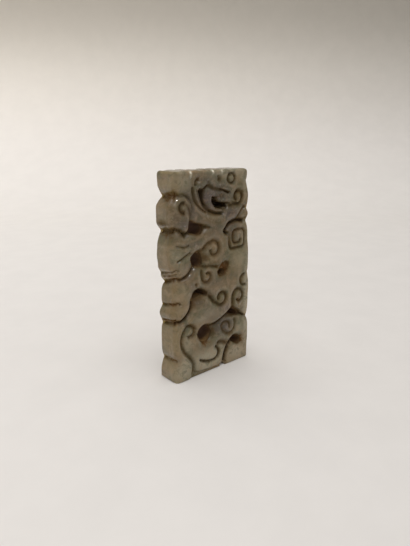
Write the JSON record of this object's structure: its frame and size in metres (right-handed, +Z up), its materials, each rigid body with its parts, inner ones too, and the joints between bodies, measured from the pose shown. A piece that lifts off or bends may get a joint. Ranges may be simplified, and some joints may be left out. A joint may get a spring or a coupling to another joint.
{
  "type": "jade plaque",
  "caption": "Small pierced jade plaque with a scalloped outline and wheel-cut scroll and dragon-curl relief on its front, standing on its foot edge.",
  "frame": {"origin": "middle of the foot edge, on the surface the plaque stands on", "axes": "+Z up along the plaque's height, -Y out of the carved front, +X to the right seen from the front"},
  "size_m": [0.0296, 0.0076, 0.06],
  "materials": {
    "jade": "waxy polish, worn, with brown staining in the grooves and holes"
  },
  "bodies": {
    "root": {"jade_plaque": "jade"}
  },
  "joints": []
}
